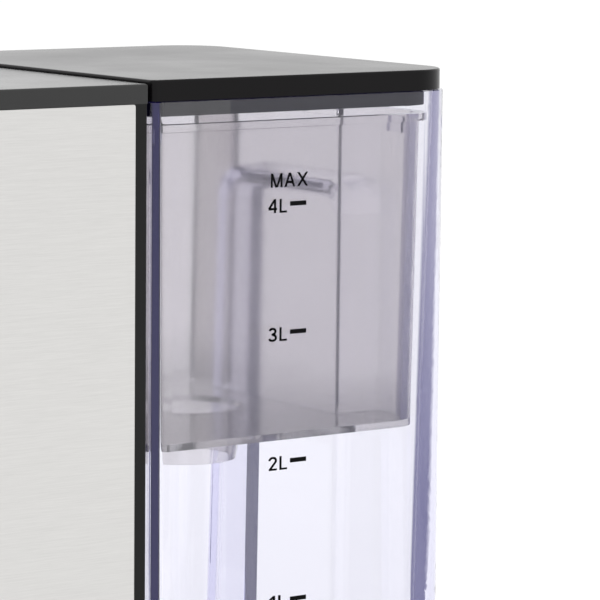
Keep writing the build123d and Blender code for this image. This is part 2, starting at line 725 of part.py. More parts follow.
def spout_shroud():
    shroud = block(
        -SHROUD_HALF_X, SHROUD_HALF_X, SPOUT_Y - SHROUD_HALF_Y, SPOUT_Y + SHROUD_HALF_Y,
        HEAD_BOTTOM - SHROUD_HEIGHT, HEAD_BOTTOM,
    )
    shroud = fillet(shroud.edges().filter_by(Axis.Z), SHROUD_ROUND)
    shroud = chamfer(shroud.faces().sort_by(Axis.Z)[0].edges(), EDGE_ROUND)
    opening = NOZZLE_FLANGE_RADIUS + FIT
    return shroud - post(0, SPOUT_Y, HEAD_BOTTOM - SHROUD_HEIGHT, HEAD_BOTTOM, opening)


# Drip tray

def drip_tray():
    bottom = SHELL_BOTTOM + TRAY_LIFT
    front = Y_FRONT + TRAY_FRONT
    tray = block(-TRAY_HALF, TRAY_HALF, Y_FRONT, TRAY_BACK, bottom, TRAY_TOP)
    plate = block(-HALF_WIDTH, HALF_WIDTH, Y_FRONT, front, FOOT_HEIGHT + TRAY_LIP, ARM_TOP)
    tray += fillet(plate.edges().filter_by(Axis.Y), TRAY_LIP)
    floor = bottom + TRAY_FLOOR
    for wall, z0, z1 in ((TRAY_WALL, GRID_BOTTOM, ARM_TOP), (TRAY_WALL + TRAY_LEDGE, floor, GRID_BOTTOM)):
        half = TRAY_HALF - wall
        tray -= block(-half, half, front + wall, TRAY_BACK - wall, z0, z1)
    return tray


def drip_grid():
    inset = TRAY_WALL + GRID_CLEARANCE
    y0 = Y_FRONT + TRAY_FRONT + inset
    y1 = TRAY_BACK - inset
    half = TRAY_HALF - inset
    grid = block(-half, half, y0, y1, GRID_BOTTOM, TRAY_TOP)
    rows = int((y1 - y0 - 2 * GRID_MARGIN) // GRID_PITCH) + 1
    length = half - GRID_MARGIN - GRID_BRIDGE / 2
    middle = (GRID_BRIDGE + length) / 2
    for row in range(rows):
        y = (y0 + y1) / 2 + GRID_PITCH * (row - (rows - 1) / 2)
        for side in (-1, 1):
            slot = Pos(side * middle, y) * SlotOverall(length, GRID_SLOT)
            grid -= slab(slot, GRID_BOTTOM, TRAY_TOP)
    return grid


# Tank

def grip_plan(grow):
    """Plan of the grip recess where it is deepest, grown on every side."""
    mouth = GRIP_MOUTH / 2 + GRIP_TAPER
    floor = GRIP_MOUTH / 2 - GRIP_TAPER
    plan = make_face(
        Polyline(
            (-mouth, Y_BACK + GRIP_DEEP),
            (-floor, Y_BACK - GRIP_DEEP),
            (floor, Y_BACK - GRIP_DEEP),
            (mouth, Y_BACK + GRIP_DEEP),
            close=True,
        )
    )
    return offset(plan, amount=grow, kind=Kind.INTERSECTION)


def grip_arch(half, top, bottom, y, lean):
    """Outline of the grip recess with a rounded top, facing -Y and leaning towards +Y."""
    height = top - bottom
    side = 90 - math.degrees(math.atan(GRIP_SPLAY / height))
    arch = Pos(0, height / 2) * Trapezoid(2 * half, height, side)
    arch = fillet(arch.vertices().group_by(Axis.Y)[-1], GRIP_ROUND)
    return Plane(origin=(0, y, bottom), x_dir=(1, 0, 0), z_dir=(0, -1, lean)) * arch


def grip_block(grow, bottom):
    """The grip recess as a solid from its floor to beyond its mouth, grown on every side."""
    slope = GRIP_TAPER / GRIP_DEEP
    rise = GRIP_TOP_SLOPE / GRIP_DEPTH
    half = GRIP_MOUTH / 2 - GRIP_TAPER + grow * (math.hypot(1, slope) - slope)
    top = GRIP_TOP - GRIP_TOP_SLOPE + grow * (math.hypot(1, rise) - rise)
    floor_y = Y_BACK - GRIP_DEEP - grow
    run = 2 * GRIP_DEEP + grow
    floor = grip_arch(half, top, bottom, floor_y, GRIP_DRAFT / (top - bottom))
    mouth = grip_arch(half + slope * run, top + rise * (run - GRIP_DRAFT), bottom, floor_y + run, 0)
    solid = loft([floor, mouth], ruled=True)
    edges = solid.faces().sort_by(Axis.Y)[0].edges().sort_by(Axis.Z)[1:]
    return fillet(edges, GRIP_EDGE)


def basket_ledges():
    """Brackets on the front and rear walls that the basket's rim rests on."""
    low = BASKET_RIM_BOTTOM - RIM_SEAT_GAP - LEDGE_HEIGHT
    high = BASKET_RIM_BOTTOM - RIM_SEAT_GAP
    reach = BASKET_INSET - LEDGE_CLEARANCE
    root = TANK_WALL / 2
    half = LEDGE_WIDTH / 2
    ledges = []
    for side in (-1, 1):
        x = side * LEDGE_FRONT_X
        ledges.append(block(x - half, x + half, TANK_FRONT + root, TANK_FRONT + reach, low, high))
        x = side * LEDGE_REAR_X
        ledges.append(block(x - half, x + half, Y_BACK - reach, Y_BACK - root, low, high))
    return ledges


def tank_inside(inset, rear_radius):
    """Plan of the tank's inside, drawn in from the thinnest walls."""
    side = TANK_WALL + inset
    front = TANK_FRONT_WALL + inset
    return rear_outline(
        HALF_WIDTH - side, TANK_FRONT + front, Y_BACK - side, TANK_INNER_FRONT_RADIUS, rear_radius
    )


def tank_shell():
    outer = drafted(
        tank_outline(OUTER_DRAFT, TANK_FRONT_RADIUS, TANK_REAR_RADIUS), TANK_BOTTOM,
        tank_outline(0, TANK_FRONT_RADIUS, TANK_REAR_RADIUS), TANK_TOP,
    )
    low_plan = tank_inside(INNER_DRAFT, TANK_INNER_RADIUS_LOW)
    inner = drafted(low_plan, TANK_FLOOR, tank_inside(0, TANK_INNER_RADIUS), TANK_TOP)
    below = TANK_BOTTOM - TANK_FOOT
    foot = slab(low_plan, below, TANK_UNDERSIDE)
    around_grip = grip_block(GRIP_WALL, below)
    shell = outer - grip_block(0, below)
    shell -= inner - around_grip
    shell -= foot - around_grip
    for ledge in basket_ledges():
        shell += ledge
    return shell - post(0, VALVE_Y, TANK_UNDERSIDE, TANK_FLOOR, VALVE_RADIUS + CLOSE_FIT)


def tank_lid():
    lid = slab(tank_outline(0, LID_FRONT_RADIUS, REAR_RADIUS), LID_BOTTOM, HEIGHT)
    lid = fillet(lid.faces().sort_by(Axis.Z)[-1].edges(), EDGE_ROUND)
    lid -= slab(tank_outline(LID_RIM, LID_FRONT_RADIUS, REAR_RADIUS - LID_RIM), LID_BOTTOM, HEIGHT - LID_SKIN)
    skirt_bottom = LID_BOTTOM - SKIRT_DEPTH
    skirt = slab(tank_outline(SKIRT_INSET, LID_FRONT_RADIUS, SKIRT_RADIUS), skirt_bottom, LID_BOTTOM)
    inset = SKIRT_INSET + SKIRT_WALL
    skirt -= slab(tank_outline(inset, LID_FRONT_RADIUS, SKIRT_RADIUS - SKIRT_WALL), skirt_bottom, LID_BOTTOM)
    face = HALF_WIDTH - SKIRT_INSET
    half = SKIRT_RIB_WIDTH / 2
    for side in (-1, 1):
        x0, x1 = sorted((side * (face - SKIRT_WALL / 2), side * (face + SKIRT_RIB_PROUD)))
        for y in (TANK_FRONT + SKIRT_RIB_FROM_END, TANK_MIDDLE, Y_BACK - SKIRT_RIB_FROM_END):
            skirt += block(x0, x1, y - half, y + half, skirt_bottom, LID_BOTTOM)
    return lid + skirt


def basket_plan(inset):
    """Plan of the basket: the tank's outline less a notch round the grip recess."""
    notch = GRIP_WALL + BASKET_NOTCH_CLEARANCE + inset - BASKET_INSET
    return tank_outline(inset, BASKET_FRONT_RADIUS, BASKET_REAR_RADIUS) - grip_plan(notch)


def filter_basket():
    low = BASKET_INSET + BASKET_DRAFT
    outer = drafted(basket_plan(low), BASKET_BOTTOM, basket_plan(BASKET_INSET), BASKET_RIM_TOP)
    inner = drafted(
        basket_plan(low + BASKET_WALL), BASKET_BOTTOM + BASKET_FLOOR,
        basket_plan(BASKET_INSET + BASKET_WALL), BASKET_RIM_TOP,
    )
    rim = slab(basket_plan(BASKET_RIM_INSET), BASKET_RIM_BOTTOM, BASKET_RIM_TOP)
    length = COLLAR_LENGTH + BASKET_FLOOR
    middle = BASKET_BOTTOM + BASKET_FLOOR - length / 2
    small = COLLAR_RADIUS - COLLAR_TAPER
    collar = Pos(0, COLLAR_Y, middle) * Cone(small + COLLAR_WALL, COLLAR_RADIUS + COLLAR_WALL, length)
    hole = Pos(0, COLLAR_Y, middle) * Cone(small, COLLAR_RADIUS, length)
    return outer + rim - inner + collar - hole


# Tank valve and coupling

def valve_body():
    body = post(0, VALVE_Y, VALVE_BOTTOM, VALVE_TOP, VALVE_RADIUS)
    body += post(0, VALVE_Y, TANK_FLOOR, VALVE_TOP, VALVE_RADIUS + VALVE_FLANGE)
    body -= post(0, VALVE_Y, VALVE_SEAT_TOP, VALVE_TOP, VALVE_BORE)
    return body - post(0, VALVE_Y, VALVE_BOTTOM, VALVE_SEAT_TOP, VALVE_SEAT_RADIUS)


def valve_seal():
    top = VALVE_SEAT_TOP + VALVE_SEAL_HEIGHT
    ring = post(0, VALVE_Y, VALVE_SEAT_TOP, top, VALVE_SEAL_RADIUS)
    return ring - post(0, VALVE_Y, VALVE_SEAT_TOP, top, VALVE_SEAT_RADIUS)


def valve_plunger():
    plunger = post(0, VALVE_Y, PLUNGER_BOTTOM, PLUNGER_TOP, PLUNGER_RADIUS)
    plunger += post(0, VALVE_Y, PLUNGER_TIP, PLUNGER_TOP, PLUNGER_NOSE_RADIUS)
    return plunger + post(0, VALVE_Y, PLUNGER_BOTTOM, CAP_TOP + STEM_TOP_PROUD, STEM_RADIUS)


def valve_cap():
    cap = post(0, VALVE_Y, VALVE_TOP, CAP_TOP, CAP_RADIUS)
    cap = fillet(cap.edges().group_by(Axis.Z)[-1], EDGE_ROUND)
    cap -= post(0, VALVE_Y, VALVE_TOP, CAP_TOP - CAP_WALL, CAP_RADIUS - CAP_WALL)
    cap -= post(0, VALVE_Y, CAP_TOP - CAP_WALL, CAP_TOP, STEM_RADIUS + 2 * CLOSE_FIT)
    half = CAP_SLOT_WIDTH / 2
    slot = block(0, CAP_RADIUS * 2, -half, half, VALVE_TOP + CAP_WALL, CAP_TOP - 2 * CAP_WALL)
    for i in range(CAP_SLOTS):
        cap -= Pos(0, VALVE_Y, 0) * Rot(0, 0, 360 * i / CAP_SLOTS) * slot
    return cap


def valve_spring():
    low = PLUNGER_TOP + SPRING_GAP + SPRING_WIRE
    high = CAP_TOP - CAP_WALL - SPRING_GAP - SPRING_WIRE
    pitch = (high - low) / SPRING_TURNS
    print("valve spring, least gap to itself:", round(pitch - 2 * SPRING_WIRE, 2))
    path = Helix(pitch, high - low, SPRING_RADIUS, center=(0, VALVE_Y, low))
    return sweep(Plane(origin=path @ 0, z_dir=path % 0) * Circle(SPRING_WIRE), path=path, is_frenet=True)


def tank_socket():
    flange_bottom = PLATFORM_UNDERSIDE - SOCKET_FLANGE_HEIGHT
    socket = post(0, VALVE_Y, flange_bottom, SOCKET_TOP, SOCKET_RADIUS)
    socket += post(0, VALVE_Y, flange_bottom, PLATFORM_UNDERSIDE, SOCKET_RADIUS + SOCKET_FLANGE)
    socket += post(0, VALVE_Y, SOCKET_BOTTOM, flange_bottom, SOCKET_LOW_RADIUS)
    barb_end = -(SOCKET_LOW_RADIUS + BARB_LENGTH)
    socket += rod_x(barb_end, -SOCKET_BORE, VALVE_Y, PUMP_HEIGHT, BARB_RADIUS)
    socket -= post(0, VALVE_Y, SOCKET_CUP_FLOOR, SOCKET_TOP, SOCKET_CUP_RADIUS)
    seal_top = SOCKET_TOP - SEAL_BELOW_TOP
    socket -= post(0, VALVE_Y, seal_top - SEAL_HEIGHT, seal_top, VALVE_RADIUS + SEAL_WIDTH + 2 * CLOSE_FIT)
    socket -= post(0, VALVE_Y, SOCKET_BOTTOM + SOCKET_FLOOR, SOCKET_CUP_FLOOR, SOCKET_BORE)
    socket -= rod_x(barb_end, 0, VALVE_Y, PUMP_HEIGHT, BARB_BORE)
    bar_half = PIN_BAR / 2
    bar_reach = SOCKET_BORE + SOCKET_FLOOR / 2
    bar_bottom = SOCKET_CUP_FLOOR - SOCKET_FLOOR
    y0, y1 = VALVE_Y - bar_reach, VALVE_Y + bar_reach
    socket += block(-bar_half, bar_half, y0, y1, bar_bottom, SOCKET_CUP_FLOOR)
    return socket + post(0, VALVE_Y, bar_bottom, PLUNGER_TIP - CLOSE_FIT / 2, PIN_RADIUS)


def socket_seal():
    top = SOCKET_TOP - SEAL_BELOW_TOP
    ring = post(0, VALVE_Y, top - SEAL_HEIGHT, top, VALVE_RADIUS + SEAL_WIDTH)
    return ring - post(0, VALVE_Y, top - SEAL_HEIGHT, top, VALVE_RADIUS + CLOSE_FIT)


def tank_platform():
    plan = rear_outline(HALF_WIDTH, BODY_BACK, Y_BACK, EDGE_ROUND, REAR_RADIUS)
    inner = rear_outline(
        SIDE_INNER, BODY_BACK + PLATFORM_WALL, Y_BACK - PLATFORM_WALL, EDGE_ROUND, REAR_RADIUS - PLATFORM_WALL
    )
    platform = slab(plan, SHELL_BOTTOM, PLATFORM_TOP)
    platform -= slab(inner, SHELL_BOTTOM, PLATFORM_UNDERSIDE)
    island = tank_inside(INNER_DRAFT + ISLAND_CLEARANCE, TANK_INNER_RADIUS_LOW)
    island -= grip_plan(GRIP_WALL + ISLAND_CLEARANCE)
    platform += slab(island, PLATFORM_UNDERSIDE, PLATFORM_TOP + ISLAND_HEIGHT)
    for x, y in PLATFORM_BOSSES:
        platform += boss(x, y)
    for x, y in PLATFORM_BOSSES:
        platform -= boss_hole(x, y)
    platform -= passage(BODY_BACK, BODY_BACK + PLATFORM_WALL)
    platform -= rod_y(Y_BACK - PLATFORM_WALL, Y_BACK, GLAND_X, GLAND_HEIGHT, GLAND_RADIUS + CLOSE_FIT)
    top = PLATFORM_TOP + ISLAND_HEIGHT
    return platform - post(0, VALVE_Y, PLATFORM_UNDERSIDE, top, SOCKET_RADIUS + CLOSE_FIT)


def cord_gland():
    outer = Y_BACK - CLOSE_FIT
    inner_face = Y_BACK - PLATFORM_WALL
    gland = rod_y(outer - GLAND_LENGTH, outer, GLAND_X, GLAND_HEIGHT, GLAND_RADIUS)
    flange = GLAND_RADIUS + GLAND_FLANGE
    gland += rod_y(inner_face - GLAND_FLANGE_HEIGHT, inner_face, GLAND_X, GLAND_HEIGHT, flange)
    return gland - rod_y(outer - GLAND_LENGTH, outer, GLAND_X, GLAND_HEIGHT, GLAND_BORE)


# Flow meter

def flow_meter_body():
    body = post(PUMP_X, METER_Y, SHELL_BOTTOM, METER_TOP, METER_RADIUS)
    body -= post(PUMP_X, METER_Y, SHELL_BOTTOM + METER_WALL, METER_TOP, METER_RADIUS - METER_WALL)
    inlet = PUMP_X + METER_RADIUS
    outlet = METER_Y - METER_RADIUS
    ring = METER_RADIUS - METER_WALL / 2
    body += rod_x(PUMP_X + ring, inlet + BARB_LENGTH, METER_Y, PUMP_HEIGHT, BARB_RADIUS)
    body += rod_y(outlet - BARB_LENGTH, METER_Y - ring, PUMP_X, PUMP_HEIGHT, BARB_RADIUS)
    body -= rod_x(PUMP_X, inlet + BARB_LENGTH, METER_Y, PUMP_HEIGHT, BARB_BORE)
    body -= rod_y(outlet - BARB_LENGTH, METER_Y, PUMP_X, PUMP_HEIGHT, BARB_BORE)
    half_floor = SHELL_BOTTOM + METER_WALL / 2
    return body - post(PUMP_X, METER_Y, half_floor, METER_TOP, WHEEL_AXLE + RUN_FIT)


def flow_meter_cap():
    cap = post(PUMP_X, METER_Y, METER_TOP, METER_TOP + METER_CAP, METER_RADIUS)
    return cap - post(PUMP_X, METER_Y, METER_TOP, METER_TOP + METER_CAP / 2, WHEEL_AXLE + RUN_FIT)


def flow_meter_wheel():
    low = SHELL_BOTTOM + METER_WALL + WHEEL_GAP
    high = METER_TOP - WHEEL_GAP
    wheel = post(PUMP_X, METER_Y, low, high, WHEEL_HUB)
    vane = block(0, WHEEL_RADIUS, -WHEEL_VANE / 2, WHEEL_VANE / 2, low, high)
    for i in range(WHEEL_VANES):
        wheel += Pos(PUMP_X, METER_Y, 0) * Rot(0, 0, 360 * i / WHEEL_VANES) * vane
    axle_low = SHELL_BOTTOM + METER_WALL / 2 + RUN_FIT
    return wheel + post(PUMP_X, METER_Y, axle_low, METER_TOP + METER_CAP / 2 - RUN_FIT, WHEEL_AXLE)


# Pump

def pump_housing():
    housing = rod_y(PUMP_BACK, PUMP_FRONT, PUMP_X, PUMP_HEIGHT, PUMP_RADIUS)
    housing += rod_y(PUMP_MIDDLE, PUMP_FRONT + BARB_LENGTH, PUMP_X, PUMP_HEIGHT, BARB_RADIUS)
    top = PUMP_HEIGHT + PUMP_RADIUS + BARB_LENGTH
    housing += post(PUMP_X, PUMP_MIDDLE, PUMP_HEIGHT, top, BARB_RADIUS)
    housing -= rod_y(PUMP_BACK, PUMP_FRONT - PUMP_WALL, PUMP_X, PUMP_HEIGHT, PUMP_RADIUS - PUMP_WALL)
    housing -= rod_y(PUMP_BACK, PUMP_FRONT + BARB_LENGTH, PUMP_X, PUMP_HEIGHT, BARB_BORE)
    return housing - post(PUMP_X, PUMP_MIDDLE, PUMP_HEIGHT, top, BARB_BORE)


def pump_motor():
    motor = rod_y(MOTOR_BACK, PUMP_BACK, PUMP_X, PUMP_HEIGHT, MOTOR_RADIUS)
    motor = fillet(motor.edges().group_by(Axis.Y)[0], EDGE_ROUND)
    motor += rod_y(PUMP_BACK - MOTOR_FLANGE, PUMP_BACK, PUMP_X, PUMP_HEIGHT, PUMP_RADIUS)
    hole = SHAFT_RADIUS + RUN_FIT
    return motor - rod_y(PUMP_BACK - SHAFT_ENGAGED, PUMP_BACK, PUMP_X, PUMP_HEIGHT, hole)


def pump_impeller():
    low = PUMP_BACK + IMPELLER_GAP
    high = PUMP_FRONT - PUMP_WALL - IMPELLER_GAP
    impeller = rod_y(low, low + IMPELLER_DISC, PUMP_X, PUMP_HEIGHT, IMPELLER_RADIUS)
    impeller += rod_y(low, high, PUMP_X, PUMP_HEIGHT, IMPELLER_HUB)
    vane = block(0, IMPELLER_RADIUS, low, high, -WHEEL_VANE / 2, WHEEL_VANE / 2)
    for i in range(WHEEL_VANES):
        impeller += Pos(PUMP_X, 0, PUMP_HEIGHT) * Rot(0, 360 * i / WHEEL_VANES, 0) * vane
    shaft_end = PUMP_BACK - SHAFT_ENGAGED + RUN_FIT
    return impeller + rod_y(shaft_end, high, PUMP_X, PUMP_HEIGHT, SHAFT_RADIUS)


def pump_bracket():
    y1 = PUMP_BACK - MOTOR_FLANGE - BRACKET_BELOW_AXIS
    cradle = block(
        PUMP_X - BRACKET_HALF, PUMP_X + BRACKET_HALF, y1 - BRACKET_LENGTH, y1,
        SHELL_BOTTOM, PUMP_HEIGHT - BRACKET_BELOW_AXIS,
    )
    return cradle - rod_y(y1 - BRACKET_LENGTH, y1, PUMP_X, PUMP_HEIGHT, MOTOR_RADIUS + CLOSE_FIT)


# Heater

def heater_block():
    heater = post(PUMP_X, PUMP_MIDDLE, HEATER_BOTTOM, HEATER_TOP, HEATER_RADIUS)
    heater = fillet(heater.edges().filter_by(GeomType.CIRCLE), EDGE_ROUND)
    low, high = HEATER_BOTTOM - BARB_LENGTH, HEATER_TOP + BARB_LENGTH
    heater += post(PUMP_X, PUMP_MIDDLE, low, high, BARB_RADIUS)
    return heater - post(PUMP_X, PUMP_MIDDLE, low, high, BARB_BORE)


def heater_clamps():
    clamps = []
    for z in (HEATER_BOTTOM + CLAMP_FROM_END, HEATER_TOP - CLAMP_FROM_END - CLAMP_HEIGHT):
        ring = post(PUMP_X, PUMP_MIDDLE, z, z + CLAMP_HEIGHT, HEATER_RADIUS + CLAMP_WALL)
        ring += block(PUMP_X - CLAMP_FOOT, PUMP_X + CLAMP_FOOT, PUMP_MIDDLE, BACK_INNER, z, z + CLAMP_HEIGHT)
        clamps.append(ring - post(PUMP_X, PUMP_MIDDLE, z, z + CLAMP_HEIGHT, HEATER_RADIUS + CLOSE_FIT))
    return group(clamps)


def thermostat():
    top = HEATER_TOP + THERMOSTAT_HEIGHT
    return post(PUMP_X + SENSOR_OFFSET, PUMP_MIDDLE, HEATER_TOP, top, THERMOSTAT_RADIUS)


def temperature_sensor():
    top = HEATER_TOP + SENSOR_HEIGHT
    return post(PUMP_X - SENSOR_OFFSET, PUMP_MIDDLE, HEATER_TOP, top, SENSOR_RADIUS)


# Electronics

def power_board():
    return block(BOARD_X, BOARD_X + BOARD_THICKNESS, BOARD_FRONT, BOARD_BACK, BOARD_BOTTOM, BOARD_TOP)


def plug_heights():
    """Middle heights of the three lead connectors on the mains board."""
    low = BOARD_BOTTOM + PLUG_SIZE / 2
    middle = (HEATER_BOTTOM + HEATER_TOP) / 2
    return low, middle, BOARD_TOP - PLUG_SIZE / 2


def power_components():
    half = PLUG_SIZE / 2
    low, middle, high = plug_heights()
    y = (BOARD_FRONT + BOARD_BACK) / 2
    pieces = []
    for place, z in ((WIRE_Y, low), (PUMP_MIDDLE, middle), (WIRE_Y, high)):
        pieces.append(block(BOARD_X - PLUG_SIZE, BOARD_X, place - half, place + half, z - half, z + half))
    relay = RELAY_SIZE / 2
    z = (middle + high) / 2
    pieces.append(block(BOARD_X - RELAY_DEPTH, BOARD_X, y - relay, y + relay, z - relay, z + relay))
    coil = COIL_SIZE / 2
    z = (low + middle) / 2
    pieces.append(block(BOARD_X - COIL_DEPTH, BOARD_X, y - coil, y + coil, z - coil, z + coil))
    z = middle + PLUG_SIZE + CAPACITOR_RADIUS
    for side in (-1, 1):
        place = y + side * (relay + CAPACITOR_RADIUS)
        pieces.append(rod_x(BOARD_X - CAPACITOR_HEIGHT, BOARD_X, place, z, CAPACITOR_RADIUS))
    return group(pieces)


def lead(points):
    """Wire along straight runs with rounded turns."""
    path = FilletPolyline(*points, radius=WIRE_BEND)
    return sweep(Plane(origin=path @ 0, z_dir=path % 0) * Circle(WIRE_RADIUS), path=path)


def wire_harness():
    half = PLUG_SIZE / 2
    low, middle, high = plug_heights()
    motor_x = PUMP_X + MOTOR_RADIUS + WIRE_GAP
    to_motor = lead([
        (motor_x, WIRE_Y, PUMP_HEIGHT), (WIRE_X, WIRE_Y, PUMP_HEIGHT), (WIRE_X, WIRE_Y, low - half),
    ])
    heater_x = PUMP_X + HEATER_RADIUS + WIRE_GAP
    to_heater = rod_x(heater_x, BOARD_X - PLUG_SIZE, PUMP_MIDDLE, middle, WIRE_RADIUS)
    turn = (high + COVER_BOTTOM) / 2
    to_control = lead([(WIRE_X, WIRE_Y, high + half), (WIRE_X, WIRE_Y, turn), (WIRE_X, CONTROL_BACK, turn)])
    return group([to_motor, to_heater, to_control])


# Water lines

def line_ends():
    """Where the straight water lines start and end."""
    meter_x = PUMP_X + METER_RADIUS + TUBE_END_GAP
    socket_x = -SOCKET_LOW_RADIUS - TUBE_END_GAP
    meter_y = METER_Y - METER_RADIUS - TUBE_END_GAP
    pump_y = PUMP_FRONT + TUBE_END_GAP
    pump_z = PUMP_HEIGHT + PUMP_RADIUS + TUBE_END_GAP
    heater_z = HEATER_BOTTOM - TUBE_END_GAP
    return meter_x, socket_x, meter_y, pump_y, pump_z, heater_z


def tube_socket_meter():
    meter_x, socket_x = line_ends()[:2]
    tube = rod_x(meter_x, socket_x, METER_Y, PUMP_HEIGHT, TUBE_RADIUS)
    return tube - rod_x(meter_x, socket_x, METER_Y, PUMP_HEIGHT, TUBE_BORE)


def tube_meter_pump():
    meter_y, pump_y = line_ends()[2:4]
    tube = rod_y(pump_y, meter_y, PUMP_X, PUMP_HEIGHT, TUBE_RADIUS)
    return tube - rod_y(pump_y, meter_y, PUMP_X, PUMP_HEIGHT, TUBE_BORE)


def tube_pump_heater():
    pump_z, heater_z = line_ends()[4:]
    tube = post(PUMP_X, PUMP_MIDDLE, pump_z, heater_z, TUBE_RADIUS)
    return tube - post(PUMP_X, PUMP_MIDDLE, pump_z, heater_z, TUBE_BORE)


def tube_heater_outlet():
    path = FilletPolyline(
        (PUMP_X, PUMP_MIDDLE, HEATER_TOP + TUBE_END_GAP),
        (PUMP_X, PUMP_MIDDLE, TUBE_TOP),
        (0, SPOUT_Y, TUBE_TOP),
        (0, SPOUT_Y, CHAMBER_TOP + CHAMBER_LID + TUBE_END_GAP),
        radius=TUBE_BEND,
    )
    start = Plane(origin=path @ 0, z_dir=path % 0)
    return sweep(start * Circle(TUBE_RADIUS), path=path) - sweep(start * Circle(TUBE_BORE), path=path)


def hose_clips():
    """Spring clips round the tube ends."""
    outer, inner = TUBE_RADIUS + CLIP_WALL, TUBE_RADIUS + CLOSE_FIT / 2
    meter_x, socket_x, meter_y, pump_y, pump_z, heater_z = line_ends()
    width = CLIP_WIDTH
    set_in = BARB_LENGTH / 2
    clips = []
    for x in (meter_x + set_in, socket_x - set_in):
        x0, x1 = x - width / 2, x + width / 2
        clips.append(rod_x(x0, x1, METER_Y, PUMP_HEIGHT, outer) - rod_x(x0, x1, METER_Y, PUMP_HEIGHT, inner))
    for y in (meter_y - set_in, pump_y + set_in):
        y0, y1 = y - width / 2, y + width / 2
        clips.append(rod_y(y0, y1, PUMP_X, PUMP_HEIGHT, outer) - rod_y(y0, y1, PUMP_X, PUMP_HEIGHT, inner))
    chamber_z = CHAMBER_TOP + CHAMBER_LID + set_in
    heater = (PUMP_X, PUMP_MIDDLE)
    for (x, y), z in (
        (heater, pump_z + set_in), (heater, heater_z - set_in),
        (heater, HEATER_TOP + set_in + THERMOSTAT_HEIGHT), ((0, SPOUT_Y), chamber_z),
    ):
        z0, z1 = z - width / 2, z + width / 2
        clips.append(post(x, y, z0, z1, outer) - post(x, y, z0, z1, inner))
    return group(clips)


PARTS = {
    "base_plate": base_plate,
    "feet": feet,
    "base_screws": base_screws,
    "body_shell": body_shell,
    "top_cover": top_cover,
    "side_panel_left": lambda: side_panel(-1),
    "side_panel_right": lambda: side_panel(1),
    "splash_plate": splash_plate,
    "front_panel": front_panel,
    "display_lens": display_lens,
    "display_module": display_module,
    "tact_switches": tact_switches,
    "control_board": control_board,
    "outlet_chamber": outlet_chamber,
    "chamber_lid": chamber_lid,
    "spout_nozzle": spout_nozzle,
    "spout_shroud": spout_shroud,
    "drip_tray": drip_tray,
    "drip_grid": drip_grid,
    "tank_platform": tank_platform,
    "tank_shell": tank_shell,
    "tank_lid": tank_lid,
    "filter_basket": filter_basket,
    "valve_body": valve_body,
    "valve_seal": valve_seal,
    "valve_plunger": valve_plunger,
    "valve_cap": valve_cap,
    "valve_spring": valve_spring,
    "tank_socket": tank_socket,
    "socket_seal": socket_seal,
    "cord_gland": cord_gland,
    "flow_meter_body": flow_meter_body,
    "flow_meter_cap": flow_meter_cap,
    "flow_meter_wheel": flow_meter_wheel,
    "pump_housing": pump_housing,
    "pump_motor": pump_motor,
    "pump_impeller": pump_impeller,
    "pump_bracket": pump_bracket,
    "heater_block": heater_block,
    "heater_clamps": heater_clamps,
    "thermostat": thermostat,
    "temperature_sensor": temperature_sensor,
    "power_board": power_board,
    "power_components": power_components,
    "wire_harness": wire_harness,
    "tube_socket_meter": tube_socket_meter,
    "tube_meter_pump": tube_meter_pump,
    "tube_pump_heater": tube_pump_heater,
    "tube_heater_outlet": tube_heater_outlet,
    "hose_clips": hose_clips,
}

os.makedirs("parts", exist_ok=True)
for name, make in PARTS.items():
    export_step(make(), f"parts/{name}.step")
for name, x in zip(BUTTON_NAMES, BUTTON_XS):
    export_step(button(x), f"parts/{name}.step")
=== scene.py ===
import math

import bpy
from mathutils import Matrix, Vector


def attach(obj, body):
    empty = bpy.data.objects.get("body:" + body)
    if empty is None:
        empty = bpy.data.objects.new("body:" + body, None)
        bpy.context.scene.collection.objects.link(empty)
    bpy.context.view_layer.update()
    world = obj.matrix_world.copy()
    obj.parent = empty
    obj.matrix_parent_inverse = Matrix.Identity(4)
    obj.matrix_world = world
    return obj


# Looks of the hot water dispenser, in the part's frame: +Z up, controls towards -Y, tank towards +Y.
# The scene is in metres. Print is laid out in millimetres and scaled by MM.
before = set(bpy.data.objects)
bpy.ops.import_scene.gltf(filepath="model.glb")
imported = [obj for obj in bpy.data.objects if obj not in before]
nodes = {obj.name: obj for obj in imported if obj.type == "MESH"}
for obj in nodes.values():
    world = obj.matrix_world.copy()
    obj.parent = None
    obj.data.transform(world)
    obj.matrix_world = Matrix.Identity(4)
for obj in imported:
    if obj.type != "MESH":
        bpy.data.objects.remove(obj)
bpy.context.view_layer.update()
scene = bpy.context.scene
MM = 0.001


# Materials

NOISE_LOW, NOISE_HIGH = 0.3, 0.7


def even(value):
    """The same value three times, for a neutral colour or an equal stretch."""
    return (value, value, value)


def material(name):
    """New node material with its tree and its Principled shader."""
    mat = bpy.data.materials.new(name)
    mat.use_nodes = True
    return mat, mat.node_tree, mat.node_tree.nodes["Principled BSDF"]


def set_values(node, **values):
    """Constants on a node's own sockets, by socket name with underscores."""
    for name, value in values.items():
        node.inputs[name.replace("_", " ")].default_value = value


def own_place(tree):
    """The piece's own coordinates, in metres."""
    return tree.nodes.new("ShaderNodeTexCoord").outputs["Object"]


def along(tree, axis):
    """One of the piece's own coordinates, in metres."""
    split = tree.nodes.new("ShaderNodeSeparateXYZ")
    tree.links.new(own_place(tree), split.inputs["Vector"])
    return split.outputs[axis]


def noise(tree, stretch, detail=3.0, roughness=0.55):
    """Noise over the piece's own coordinates, scaled per axis."""
    mapping = tree.nodes.new("ShaderNodeMapping")
    set_values(mapping, Scale=stretch)
    tree.links.new(own_place(tree), mapping.inputs["Vector"])
    texture = tree.nodes.new("ShaderNodeTexNoise")
    set_values(texture, Scale=1.0, Detail=detail, Roughness=roughness)
    tree.links.new(mapping.outputs["Vector"], texture.inputs["Vector"])
    return texture.outputs["Fac"]


